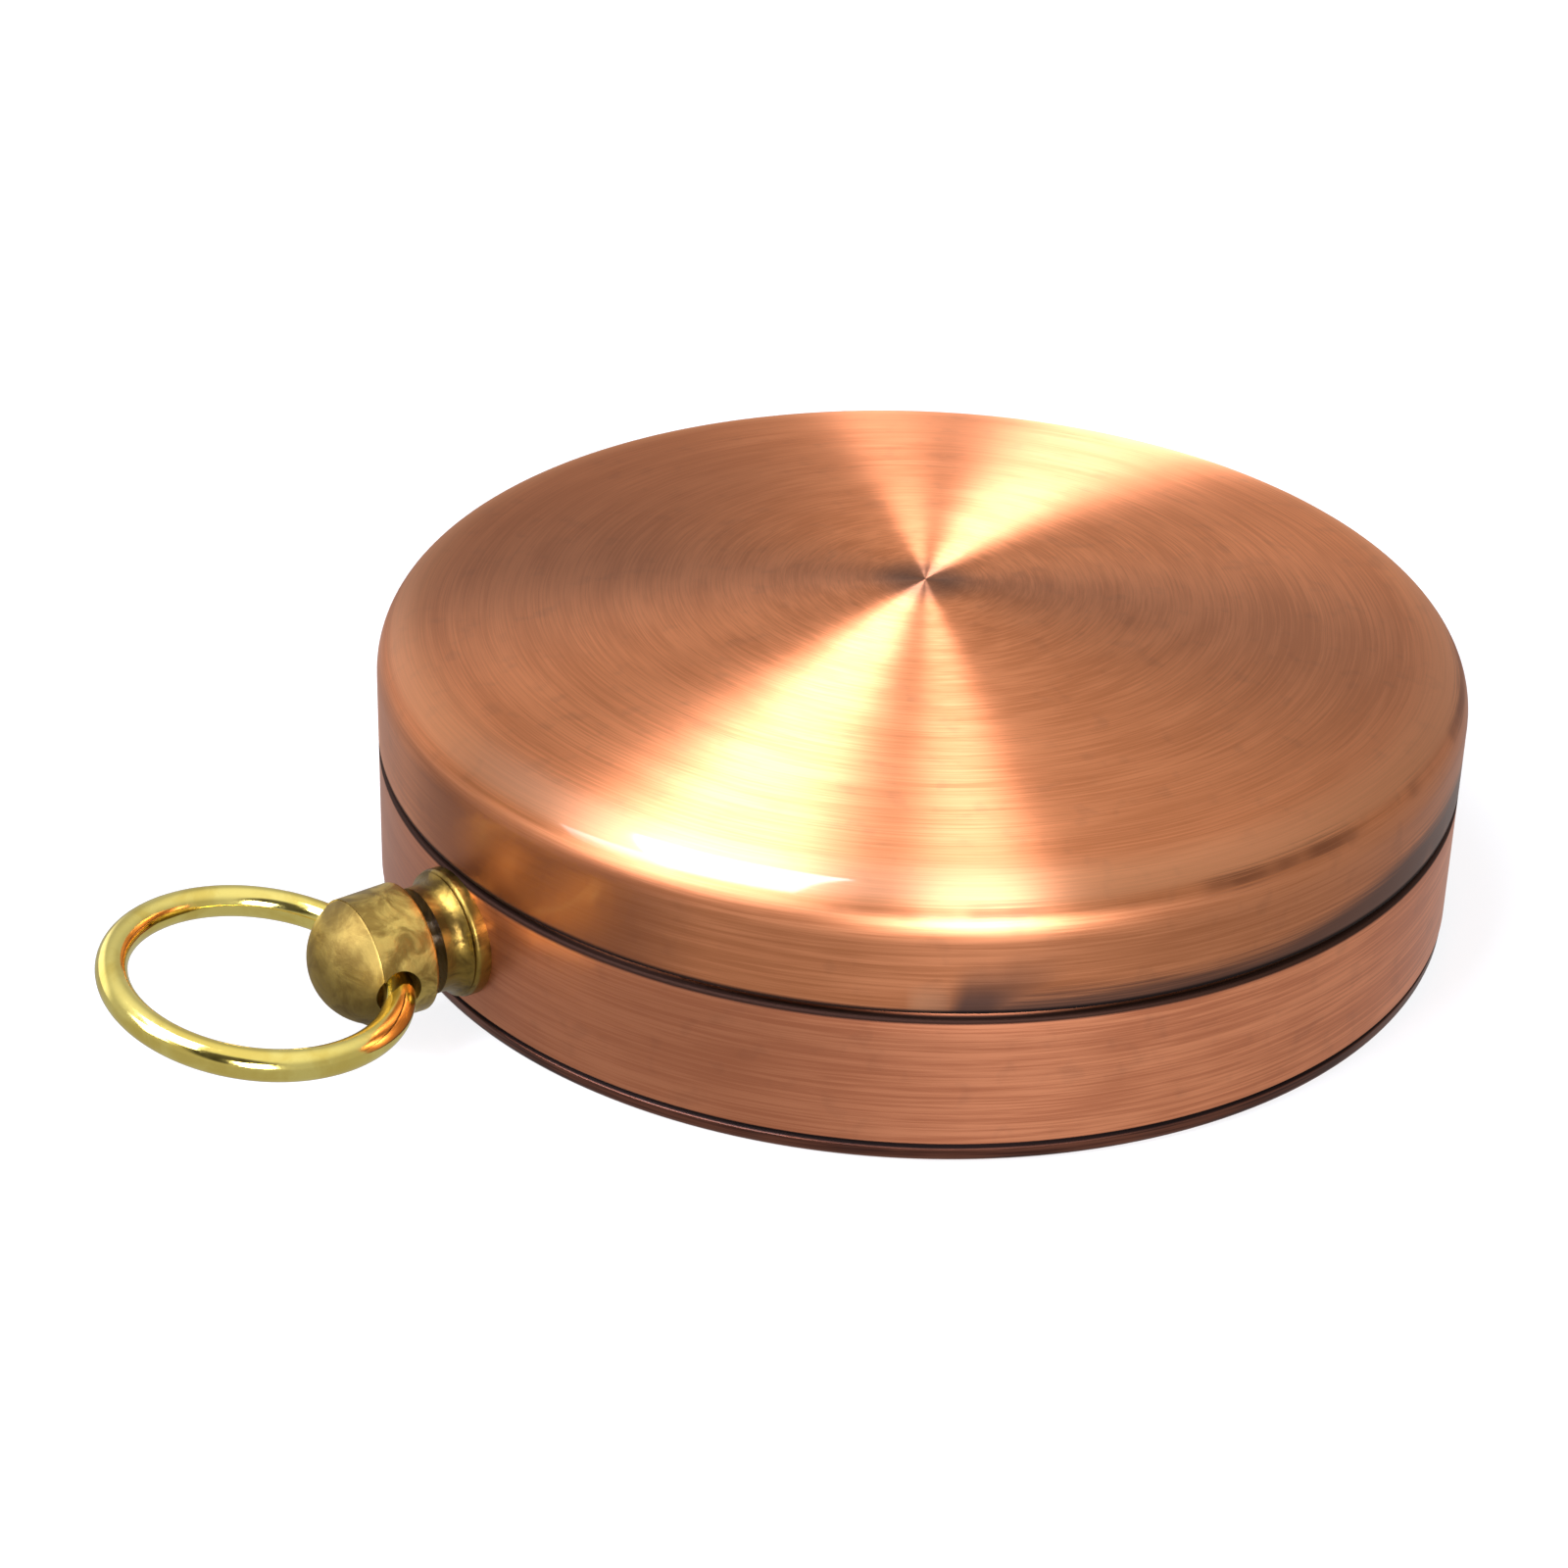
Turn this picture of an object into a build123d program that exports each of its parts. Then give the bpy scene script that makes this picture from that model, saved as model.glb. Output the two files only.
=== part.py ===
from build123d import *
from math import asin, degrees, sqrt
import os

# Pocket compass lying closed on its back cover, in millimetres and degrees.
# The case axis is Z, the foot stands on Z = 0, the pendant points to -Y and the hinge is at +Y.

# Case band and back cover
case_radius = 22.5
band_wall = 1.0
foot_height = 0.75
foot_setback = 0.05
foot_round = 0.35
groove_bevel = 0.15
snap_clearance = 0.05
snap_rim_wall = 0.6
snap_rim_height = 1.2
pendant_height = 3.83
shoulder_clearance = 0.07
shoulder_thickness = 1.2
ledge_thickness = 0.5
ledge_width = 0.95
upstand_wall = 0.95
upstand_cover = 0.25

# Lid
seam_gap = 0.25
seam_round = 0.12
lid_rise = 6.75
lid_wall = 0.8
lid_edge_round = 2.16
lid_dome_radius = 129.0
lip_width = 0.7
lip_height = 0.5
lip_clearance = 0.2

# Hinge
barrel_radius = 0.8
barrel_gap = 0.15
hinge_pin_radius = 0.35
hinge_pin_overhang = 0.1
centre_knuckle_length = 1.9
outer_knuckle_length = 1.85
knuckle_gap = 0.1
leaf_thickness = 0.45
leaf_height = 1.6
leaf_gap = 0.2
leaf_overhang = 0.3

# Pendant collar, crown and ring
collar_radius = 2.61
collar_rim = 0.5
collar_rim_round = 0.2
collar_seat_depth = 0.5
cove_depth = 0.12
neck_radius = 2.15
neck_length = 0.31
tube_radius = 1.3
tube_stub = 0.3
stem_radius = 0.9
crown_stand_off = 2.13
crown_radius = 2.6
crown_barrel = 2.37
crown_taper = 0.05
crown_skirt_round = 0.15
crown_step = 0.05
crown_dome_rise = 1.7
stem_tenon_radius = 0.6
stem_tenon_length = 0.2
press_travel = 0.5
press_margin = 0.08
crown_roll = 6.3
bow_station = 1.72
bow_wire_radius = 0.62
bow_radius = 5.48
bow_crossing = 2.45
bow_clearance = 0.1
bow_lift = 7.5
clip_radius = 1.25
clip_thickness = 0.3
clip_groove_depth = 0.35
clip_mouth = 0.96
clip_mouth_azimuth = 30
stem_tail = 0.3

# Lock spring, lift spring and their screws
spring_thickness = 0.3
spring_width = 2.2
spring_span = 50.0
spring_finger_arc = 10.0
spring_foot_arc = 9.0
spring_foot_width = 1.8
spring_foot_thickness = 0.4
hook_gap = 0.1
hook_lift = 0.15
hook_thickness = 0.4
notch_margin_arc = 3.0
screw_radius = 0.45
screw_depth = 0.9
screw_head_radius = 0.9
screw_head_height = 0.6
screw_slot_width = 0.3
screw_slot_depth = 0.3
lock_azimuth = 270
lift_azimuth = 90

# Compass
cup_wall = 0.5
cup_floor = 0.5
cup_floor_gap = 0.6
cup_round = 0.4
cup_flange_thickness = 0.4
dial_thickness = 0.35
scale_ring_foot = 1.6
scale_ring_rim = 0.55
gasket_width = 0.9
gasket_thickness = 0.25
crystal_edge = 1.0
crystal_rise = 0.15
bezel_width = 1.2
bezel_height = 0.5
bezel_slope = 0.3
needle_length = 29.2
needle_width = 3.4
needle_waist = 2.4
needle_thickness = 0.25
needle_height = 2.0
cap_radius = 1.35
cap_height = 0.8
cap_round = 0.4
cap_hub_radius = 0.95
cap_rivet_radius = 1.2
cap_rivet_thickness = 0.15
jewel_radius = 0.6
jewel_thickness = 0.45
jewel_rise = 0.4
jewel_cup_radius = 0.42
jewel_cup_depth = 0.22
post_foot_radius = 1.5
post_foot_height = 0.35
post_radius = 0.45
post_rivet_radius = 0.6
point_length = 1.1

# Clearances between pieces that slide, turn or drop in
running_clearance = 0.05
side_clearance = 0.15
cut_overlap = 0.2

# Radii, from the outside in
band_bore = case_radius - band_wall
lid_bore = case_radius - lid_wall
lip_bore = lid_bore - lip_width
upstand_radius = lip_bore - lip_clearance
seat_bore = upstand_radius - upstand_wall
seat_radius = seat_bore - 2 * running_clearance
ledge_bore = seat_bore - ledge_width
cup_radius = ledge_bore - 2 * running_clearance
cup_bore = cup_radius - cup_wall
dial_radius = cup_bore - running_clearance

# Levels, from the foot up
shoulder_underside = pendant_height + tube_radius + shoulder_clearance
seam_height = shoulder_underside + shoulder_thickness
lid_bottom = seam_height + seam_gap
lid_top = lid_bottom + lid_rise
ledge_top = shoulder_underside + ledge_thickness
flange_top = ledge_top + cup_flange_thickness
crystal_bottom = flange_top + gasket_thickness
crystal_shoulder = crystal_bottom + crystal_edge
upstand_top = crystal_shoulder + upstand_cover
cup_bottom = foot_height + cup_floor_gap
dial_bottom = cup_bottom + cup_floor
dial_top = dial_bottom + dial_thickness
needle_bottom = dial_top + needle_height
needle_top = needle_bottom + needle_thickness
cap_top = needle_top + cap_height
jewel_top = needle_top + jewel_rise
jewel_bottom = jewel_top - jewel_thickness

# Stations along the pendant axis, measured out from the case axis
tube_end = band_bore - tube_stub
clip_outer = tube_end - side_clearance
clip_inner = clip_outer - clip_thickness
stem_end = clip_inner - stem_tail
collar_face = case_radius + collar_rim
crown_start = case_radius + crown_stand_off
neck_end = crown_start - press_travel - press_margin
crown_edge = crown_start + crown_barrel
bow_pivot = crown_start + bow_station

# The curved wire crosses the axis of its hole near the crown's sides and bows away from it between them,
# so the hole is snug at its mouths and opened out in the middle
bow_offset = sqrt(bow_radius**2 - bow_crossing**2)
bow_mouth_offset = sqrt(bow_radius**2 - crown_radius**2)
bow_slant = bow_mouth_offset / bow_radius
hole_mouth_radius = bow_wire_radius / bow_slant + abs(bow_offset - bow_mouth_offset) + bow_clearance
hole_middle_radius = bow_wire_radius + bow_radius - bow_offset + bow_clearance

# Both springs lie on one circle just inside the stem's end
spring_outer = stem_end - running_clearance
spring_inner = spring_outer - spring_thickness
spring_low = pendant_height - spring_width / 2
spring_high = pendant_height + spring_width / 2
foot_top = shoulder_underside - running_clearance
foot_bottom = foot_top - spring_foot_thickness
screw_circle = upstand_radius - screw_radius - running_clearance

# The hinge axis runs along X beside the seam
hinge_y = case_radius + barrel_gap + barrel_radius
hinge_z = seam_height + seam_gap / 2


def turned(points, rounds=()):
    """Solid of revolution about Z from (radius, height) corners, some of them rounded."""
    face = make_face(Polyline(*points, close=True))
    for corner, radius in rounds:
        face = fillet(face.vertices().sort_by_distance(corner)[0], radius)
    return revolve(Plane.XZ * face, Axis.Z)


def arc_piece(points, start, arc):
    """Profile of (radius, height) corners swept about Z from one azimuth over an arc."""
    face = make_face(Polyline(*points, close=True))
    return revolve(Plane.XZ * face, Axis.Z, revolution_arc=arc).rotate(Axis.Z, start)


def sector(inner, outer, low, high, start, arc):
    """Piece of a ring with a square section."""
    corners = [(inner, low), (outer, low), (outer, high), (inner, high)]
    return arc_piece(corners, start, arc)


def rod(radius, low, high):
    """Round bar along Z between two levels."""
    return Pos(0, 0, low) * Cylinder(radius, high - low, align=(Align.CENTER, Align.CENTER, Align.MIN))


def along_pendant(shape):
    """Turns a shape built up along Z so that it points out along the pendant axis."""
    return Pos(0, 0, pendant_height) * Rot(90, 0, 0) * shape


def along_hinge(radius, start, end):
    """Round bar on the hinge axis between two places along X."""
    return Pos(0, hinge_y, hinge_z) * Rot(0, 90, 0) * rod(radius, start, end)


def at_screw(shape, azimuth):
    """Moves a shape from the case axis to a spring's screw."""
    return Rot(0, 0, azimuth + spring_span) * Pos(screw_circle, 0, 0) * shape


def case_band():
    corners = [
        (band_bore, foot_height),
        (case_radius - groove_bevel, foot_height),
        (case_radius, foot_height + groove_bevel),
        (case_radius, seam_height),
        (upstand_radius, seam_height),
        (upstand_radius, upstand_top),
        (seat_bore, upstand_top),
        (seat_bore, ledge_top),
        (ledge_bore, ledge_top),
        (ledge_bore, shoulder_underside),
        (band_bore, shoulder_underside),
    ]
    rounds = [((case_radius, seam_height), seam_round), ((upstand_radius, upstand_top), seam_round)]
    band = turned(corners, rounds)
    band -= along_pendant(rod(tube_radius, ledge_bore, case_radius + cut_overlap))
    notch_arc = spring_finger_arc + 2 * notch_margin_arc
    low = shoulder_underside - cut_overlap
    lock_reach = spring_inner - press_travel - 2 * side_clearance
    band -= sector(
        lock_reach, band_bore, low, upstand_top + cut_overlap, lock_azimuth - notch_arc / 2, notch_arc
    )
    band -= sector(
        upstand_radius + running_clearance, band_bore, low, seam_height + cut_overlap,
        lift_azimuth - notch_arc / 2, notch_arc,
    )
    for azimuth in (lock_azimuth, lift_azimuth):
        band -= at_screw(rod(screw_radius, low, shoulder_underside + screw_depth), azimuth)
    return band


def back_cover():
    foot_radius = case_radius - foot_setback
    rim_radius = band_bore - snap_clearance
    rim_top = foot_height + snap_rim_height
    corners = [
        (0, 0),
        (foot_radius, 0),
        (foot_radius, foot_height - groove_bevel),
        (foot_radius - groove_bevel, foot_height),
        (rim_radius, foot_height),
        (rim_radius, rim_top),
        (rim_radius - snap_rim_wall, rim_top),
        (rim_radius - snap_rim_wall, foot_height),
        (0, foot_height),
    ]
    return turned(corners, [((foot_radius, 0), foot_round)])


def lid_shell():
    round_centre = case_radius - lid_edge_round
    dome_centre = lid_top - lid_dome_radius
    reach = lid_dome_radius - lid_edge_round
    round_level = dome_centre + sqrt(reach**2 - round_centre**2)
    lean = degrees(asin(round_centre / reach))
    lip_top = lid_bottom + lip_height
    inner_round = lid_edge_round - lid_wall
    inner_dome = lid_dome_radius - lid_wall
    face = make_face(
        [
            Line((lip_bore, lid_bottom), (case_radius, lid_bottom)),
            Line((case_radius, lid_bottom), (case_radius, round_level)),
            CenterArc((round_centre, round_level), lid_edge_round, 0, 90 - lean),
            CenterArc((0, dome_centre), lid_dome_radius, 90 - lean, lean),
            Line((0, lid_top), (0, lid_top - lid_wall)),
            CenterArc((0, dome_centre), inner_dome, 90, -lean),
            CenterArc((round_centre, round_level), inner_round, 90 - lean, lean - 90),
            Line((lid_bore, round_level), (lid_bore, lip_top)),
            Line((lid_bore, lip_top), (lip_bore, lip_top)),
            Line((lip_bore, lip_top), (lip_bore, lid_bottom)),
        ]
    )
    face = fillet(face.vertices().sort_by_distance((case_radius, lid_bottom))[0], seam_round)
    return revolve(Plane.XZ * face, Axis.Z)


def hinge_leaf(low, high, half_width):
    """Plate that lies on the outside of the case behind the hinge."""
    half_arc = degrees(asin(half_width / case_radius))
    outer = case_radius + leaf_thickness
    return sector(case_radius, outer, low, high, lift_azimuth - half_arc, 2 * half_arc)


def case_hinge_leaf():
    knuckle_start = centre_knuckle_length / 2 + knuckle_gap
    knuckle_end = knuckle_start + outer_knuckle_length
    leaf_top = hinge_z - barrel_radius - leaf_gap
    leaf = hinge_leaf(leaf_top - leaf_height, leaf_top, knuckle_end + leaf_overhang)
    strap = hinge_leaf(leaf_top - leaf_gap, seam_height - seam_round, knuckle_end)
    knuckle_room = 2 * (barrel_radius + leaf_gap)
    strap -= Pos(0, hinge_y, hinge_z) * Box(2 * knuckle_start, 2 * knuckle_room, knuckle_room)
    leaf += strap
    leaf += along_hinge(barrel_radius, knuckle_start, knuckle_end)
    leaf += along_hinge(barrel_radius, -knuckle_end, -knuckle_start)
    return leaf - along_hinge(hinge_pin_radius, -knuckle_end, knuckle_end)


def lid_hinge_leaf():
    half_length = centre_knuckle_length / 2
    knuckle_end = half_length + knuckle_gap + outer_knuckle_length
    leaf_bottom = hinge_z + barrel_radius + leaf_gap
    leaf = hinge_leaf(leaf_bottom, leaf_bottom + leaf_height, knuckle_end + leaf_overhang)
    leaf += hinge_leaf(lid_bottom, leaf_bottom + leaf_gap, half_length)
    leaf += along_hinge(barrel_radius, -half_length, half_length)
    return leaf - along_hinge(hinge_pin_radius + running_clearance, -half_length, half_length)


def hinge_pin():
    half_length = centre_knuckle_length / 2 + knuckle_gap + outer_knuckle_length + hinge_pin_overhang
    return along_hinge(hinge_pin_radius, -half_length, half_length)


def pendant_collar():
    """Flared collar that sits on the round of the band, with its tube through the wall."""
    rim_start = case_radius - collar_seat_depth
    cove_end = neck_end - neck_length
    face = make_face(
        [
            Line((0, rim_start), (collar_radius, rim_start)),
            Line((collar_radius, rim_start), (collar_radius, collar_face)),
            SagittaArc((collar_radius, collar_face), (neck_radius, cove_end), -cove_depth),
            Line((neck_radius, cove_end), (neck_radius, neck_end)),
            Line((neck_radius, neck_end), (0, neck_end)),
            Line((0, neck_end), (0, rim_start)),
        ]
    )
    face = fillet(face.vertices().sort_by_distance((collar_radius, collar_face))[0], collar_rim_round)
    collar = along_pendant(revolve(Plane.XZ * face, Axis.Z))
    collar -= rod(case_radius, 0, lid_bottom)
    collar += along_pendant(rod(tube_radius, tube_end, case_radius + collar_rim))
    return collar - along_pendant(rod(stem_radius + running_clearance, 0, crown_start))


def crown_knob():
    """Barrel with a domed end, drilled for the stem and across for the ring."""
    edge_radius = crown_radius - crown_taper
    dome_base = edge_radius - crown_step
    dome_radius = (dome_base**2 + crown_dome_rise**2) / (2 * crown_dome_rise)
    apex = crown_edge + crown_dome_rise
    lean = degrees(asin(dome_base / dome_radius))
    face = make_face(
        [
            Line((0, crown_start), (crown_radius, crown_start)),
            Line((crown_radius, crown_start), (edge_radius, crown_edge)),
            Line((edge_radius, crown_edge), (dome_base, crown_edge)),
            CenterArc((0, apex - dome_radius), dome_radius, 90 - lean, lean),
            Line((0, apex), (0, crown_start)),
        ]
    )
    face = fillet(face.vertices().sort_by_distance((crown_radius, crown_start))[0], crown_skirt_round)
    knob = revolve(Plane.XZ * face, Axis.Z)
    tenon_hole_end = crown_start + stem_tenon_length + running_clearance
    knob -= rod(stem_tenon_radius + running_clearance, crown_start, tenon_hole_end)
    knob -= Pos(0, 0, bow_pivot) * Rot(0, 90, 0) * ring_hole()
    return along_pendant(Rot(0, 0, -crown_roll) * knob)


def ring_hole():
    """Hole along Z that lets the curved wire swing, with straight mouths past the crown's sides."""
    mouth = crown_radius + cut_overlap
    face = make_face(
        [
            Line((0, -mouth), (hole_mouth_radius, -mouth)),
            Line((hole_mouth_radius, -mouth), (hole_mouth_radius, -crown_radius)),
            ThreePointArc(
                (hole_mouth_radius, -crown_radius), (hole_middle_radius, 0), (hole_mouth_radius, crown_radius)
            ),
            Line((hole_mouth_radius, crown_radius), (hole_mouth_radius, mouth)),
            Line((hole_mouth_radius, mouth), (0, mouth)),
            Line((0, mouth), (0, -mouth)),
        ]
    )
    return revolve(Plane.XZ * face, Axis.Z)


def crown_stem():
    """Stem with a groove for its clip and a tenon that screws into the crown."""
    groove_radius = stem_radius - clip_groove_depth
    stem = rod(stem_radius, stem_end, clip_inner - running_clearance)
    stem += rod(groove_radius, clip_inner - running_clearance, clip_outer + running_clearance)
    stem += rod(stem_radius, clip_outer + running_clearance, crown_start)
    stem += rod(stem_tenon_radius, crown_start, crown_start + stem_tenon_length)
    return along_pendant(Rot(0, 0, -crown_roll) * stem)


def stem_clip():
    bore = stem_radius - clip_groove_depth + running_clearance
    clip = rod(clip_radius, clip_inner, clip_outer) - rod(bore, clip_inner, clip_outer)
    mouth = Box(clip_radius, clip_mouth, clip_thickness, align=(Align.MIN, Align.CENTER, Align.MIN))
    return along_pendant(Rot(0, 0, clip_mouth_azimuth) * (clip - Pos(0, 0, clip_inner) * mouth))


def bow_ring():
    ring = Pos(0, 0, bow_offset) * Rot(90, 0, 0) * Torus(bow_radius, bow_wire_radius)
    ring = Pos(0, 0, bow_pivot) * Rot(-bow_lift, 0, 0) * ring
    return along_pendant(Rot(0, 0, -crown_roll) * ring)


def flat_spring(finger, azimuth):
    """Curved strip from a finger to the foot that its screw holds under the shoulder."""
    screw_azimuth = azimuth + spring_span
    strip_start = azimuth - spring_finger_arc / 2
    head_arc = degrees((screw_head_radius + side_clearance) / screw_circle)
    strip_arc = screw_azimuth - head_arc - strip_start
    foot_start = screw_azimuth - spring_foot_arc / 2
    riser_arc = spring_foot_arc / 2 - head_arc
    spring = arc_piece(finger, strip_start, spring_finger_arc)
    spring += sector(spring_inner, spring_outer, spring_low, spring_high, strip_start, strip_arc)
    spring += sector(spring_inner, spring_outer, spring_low, foot_top, foot_start, riser_arc)
    spring += sector(
        screw_circle - spring_foot_width / 2, screw_circle + spring_foot_width / 2, foot_bottom, foot_top,
        foot_start, spring_foot_arc,
    )
    return spring - at_screw(rod(screw_radius + running_clearance, spring_low, shoulder_underside), azimuth)


def lock_spring():
    arm_outer = upstand_radius
    arm_inner = arm_outer - spring_thickness
    jog_low = shoulder_underside + running_clearance
    nose_low = lid_bottom + lip_height + hook_lift
    nose_high = nose_low + hook_thickness
    finger = [
        (spring_inner, spring_low),
        (spring_outer, spring_low),
        (spring_outer, jog_low),
        (arm_outer, jog_low),
        (arm_outer, nose_low),
        (lip_bore - hook_gap, nose_low),
        (arm_inner, nose_high),
        (arm_inner, jog_low + spring_thickness),
        (spring_inner, jog_low + spring_thickness),
    ]
    return flat_spring(finger, lock_azimuth)


def lift_spring():
    finger_inner = lip_bore + running_clearance
    finger_outer = finger_inner + spring_thickness
    finger_top = lid_bottom - running_clearance
    finger = [
        (spring_inner, spring_low),
        (spring_outer, spring_low),
        (spring_outer, spring_high - spring_thickness),
        (finger_outer, spring_high - spring_thickness),
        (finger_outer, finger_top),
        (finger_inner, finger_top),
        (finger_inner, spring_high),
        (spring_inner, spring_high),
    ]
    return flat_spring(finger, lift_azimuth)


def spring_screws():
    head_top = foot_bottom - running_clearance
    screw = rod(screw_head_radius, head_top - screw_head_height, head_top)
    screw += rod(screw_radius, head_top - cut_overlap, shoulder_underside + screw_depth)
    slot = Box(2 * screw_head_radius, screw_slot_width, 2 * screw_slot_depth)
    screw -= Pos(0, 0, head_top - screw_head_height) * slot
    return Compound([at_screw(screw, azimuth) for azimuth in (lock_azimuth, lift_azimuth)])


def compass_cup():
    corners = [
        (post_rivet_radius, cup_bottom),
        (cup_radius, cup_bottom),
        (cup_radius, ledge_top),
        (seat_radius, ledge_top),
        (seat_radius, flange_top),
        (cup_bore, flange_top),
        (cup_bore, dial_bottom),
        (post_rivet_radius, dial_bottom),
    ]
    return turned(corners, [((cup_radius, cup_bottom), cup_round)])


def dial_plate():
    return rod(dial_radius, dial_bottom, dial_top) - rod(post_rivet_radius, dial_bottom, dial_top)


def scale_ring():
    ring_top = flange_top - running_clearance
    corners = [
        (dial_radius - scale_ring_foot, dial_top),
        (dial_radius, dial_top),
        (dial_radius, ring_top),
        (dial_radius - scale_ring_rim, ring_top),
    ]
    return turned(corners)


def pivot_post():
    point_top = jewel_bottom + jewel_cup_depth - running_clearance
    corners = [
        (0, cup_bottom),
        (post_rivet_radius, cup_bottom),
        (post_rivet_radius, dial_top),
        (post_foot_radius, dial_top),
        (post_foot_radius, dial_top + post_foot_height),
        (post_radius, dial_top + post_foot_height),
        (post_radius, point_top - point_length),
        (0, point_top),
    ]
    return turned(corners)


def needle_blade():
    tip = needle_length / 2
    half_width = needle_width / 2
    half_waist = needle_waist / 2
    outline = [
        (0, tip),
        (-half_width, half_waist),
        (-half_width, -half_waist),
        (0, -tip),
        (half_width, -half_waist),
        (half_width, half_waist),
    ]
    blade = extrude(make_face(Polyline(*outline, close=True)), needle_thickness)
    return Pos(0, 0, needle_bottom) * blade - rod(cap_hub_radius, needle_bottom, needle_top)


def needle_cap():
    """Bell that stands on the blade, riveted under it, with a bore for the jewel."""
    rivet_bottom = needle_bottom - cap_rivet_thickness
    corners = [
        (jewel_radius, rivet_bottom),
        (cap_rivet_radius, rivet_bottom),
        (cap_rivet_radius, needle_bottom),
        (cap_hub_radius, needle_bottom),
        (cap_hub_radius, needle_top),
        (cap_radius, needle_top),
        (cap_radius, cap_top),
        (0, cap_top),
        (0, jewel_top),
        (jewel_radius, jewel_top),
    ]
    return turned(corners, [((cap_radius, cap_top), cap_round)])


def needle_jewel():
    corners = [
        (0, jewel_bottom + jewel_cup_depth),
        (jewel_cup_radius, jewel_bottom),
        (jewel_radius, jewel_bottom),
        (jewel_radius, jewel_top),
        (0, jewel_top),
    ]
    return turned(corners)


def crystal():
    """Glass with a flat land under the bezel and a faint dome inside it."""
    land = seat_radius - bezel_width - running_clearance
    dome_radius = (land**2 + crystal_rise**2) / (2 * crystal_rise)
    apex = crystal_shoulder + crystal_rise
    lean = degrees(asin(land / dome_radius))
    face = make_face(
        [
            Line((0, crystal_bottom), (seat_radius, crystal_bottom)),
            Line((seat_radius, crystal_bottom), (seat_radius, crystal_shoulder)),
            Line((seat_radius, crystal_shoulder), (land, crystal_shoulder)),
            CenterArc((0, apex - dome_radius), dome_radius, 90 - lean, lean),
            Line((0, apex), (0, crystal_bottom)),
        ]
    )
    return revolve(Plane.XZ * face, Axis.Z)


def crystal_gasket():
    gasket_bore = seat_radius - gasket_width
    return rod(seat_radius, flange_top, crystal_bottom) - rod(gasket_bore, flange_top, crystal_bottom)


def crystal_bezel():
    bezel_radius = seat_bore - running_clearance / 2
    bezel_bore = seat_radius - bezel_width
    bezel_top = crystal_shoulder + bezel_height
    corners = [
        (bezel_bore, crystal_shoulder),
        (bezel_radius, crystal_shoulder),
        (bezel_radius, bezel_top),
        (bezel_bore + bezel_slope, bezel_top),
    ]
    return turned(corners)


pieces = [
    case_band,
    back_cover,
    lid_shell,
    case_hinge_leaf,
    lid_hinge_leaf,
    hinge_pin,
    pendant_collar,
    crown_knob,
    crown_stem,
    stem_clip,
    bow_ring,
    lock_spring,
    lift_spring,
    spring_screws,
    compass_cup,
    dial_plate,
    scale_ring,
    pivot_post,
    needle_blade,
    needle_cap,
    needle_jewel,
    crystal,
    crystal_gasket,
    crystal_bezel,
]

os.makedirs("parts", exist_ok=True)
for piece in pieces:
    export_step(piece(), f"parts/{piece.__name__}.step")
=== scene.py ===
import bpy
import math
from mathutils import Matrix, Vector


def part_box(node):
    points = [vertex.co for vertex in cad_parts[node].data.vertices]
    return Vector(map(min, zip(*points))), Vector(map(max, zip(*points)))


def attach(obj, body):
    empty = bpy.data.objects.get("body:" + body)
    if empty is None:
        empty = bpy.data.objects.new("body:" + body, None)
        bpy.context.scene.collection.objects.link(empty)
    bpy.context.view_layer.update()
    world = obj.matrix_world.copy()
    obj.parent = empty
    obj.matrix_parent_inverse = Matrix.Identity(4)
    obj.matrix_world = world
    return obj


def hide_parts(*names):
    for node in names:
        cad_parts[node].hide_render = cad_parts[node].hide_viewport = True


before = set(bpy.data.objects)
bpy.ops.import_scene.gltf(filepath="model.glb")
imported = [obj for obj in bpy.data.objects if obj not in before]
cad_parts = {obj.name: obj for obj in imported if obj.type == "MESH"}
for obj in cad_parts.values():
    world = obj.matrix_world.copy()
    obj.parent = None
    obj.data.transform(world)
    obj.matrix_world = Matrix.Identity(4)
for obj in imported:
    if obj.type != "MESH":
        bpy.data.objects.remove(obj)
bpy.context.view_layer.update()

mm = 0.001
print("frame loaded:", len(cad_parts), "nodes")


# Modelling helpers

def clearSelection():
    bpy.ops.object.select_all(action="DESELECT")


def activate(piece):
    clearSelection()
    piece.select_set(True)
    bpy.context.view_layer.objects.active = piece


def arc(centre, radius, start, end, count):
    # points of a round stretch, angles in degrees
    turns = [math.radians(start + (end - start) * i / count) for i in range(count + 1)]
    return [(centre[0] + radius * math.cos(t), centre[1] + radius * math.sin(t)) for t in turns]


def turnPiece(name, outline, steps):
    # a closed outline of (radius, height) in mm, extruded point by point and spun about Z
    clearSelection()
    bpy.ops.mesh.primitive_plane_add(size=mm)
    piece = bpy.context.object
    piece.name = name
    piece.data.name = name
    bpy.ops.object.mode_set(mode="EDIT")
    bpy.ops.mesh.select_all(action="SELECT")
    bpy.ops.mesh.merge(type="CENTER")
    here = Vector((0, 0, 0))
    for index, (radius, height) in enumerate(outline + outline[:1]):
        there = Vector((radius * mm, 0, height * mm))
        if index == 0:
            bpy.ops.transform.translate(value=there - here)
        else:
            bpy.ops.mesh.extrude_region_move(TRANSFORM_OT_translate={"value": there - here})
        here = there
    bpy.ops.mesh.select_all(action="SELECT")
    bpy.ops.mesh.remove_doubles(threshold=1e-7)
    bpy.ops.mesh.spin(steps=steps, angle=math.tau, center=(0, 0, 0), axis=(0, 0, 1))
    bpy.ops.mesh.select_all(action="SELECT")
    bpy.ops.mesh.remove_doubles(threshold=1e-6)
    bpy.ops.mesh.normals_make_consistent(inside=False)
    bpy.ops.object.mode_set(mode="OBJECT")
    return piece


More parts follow.
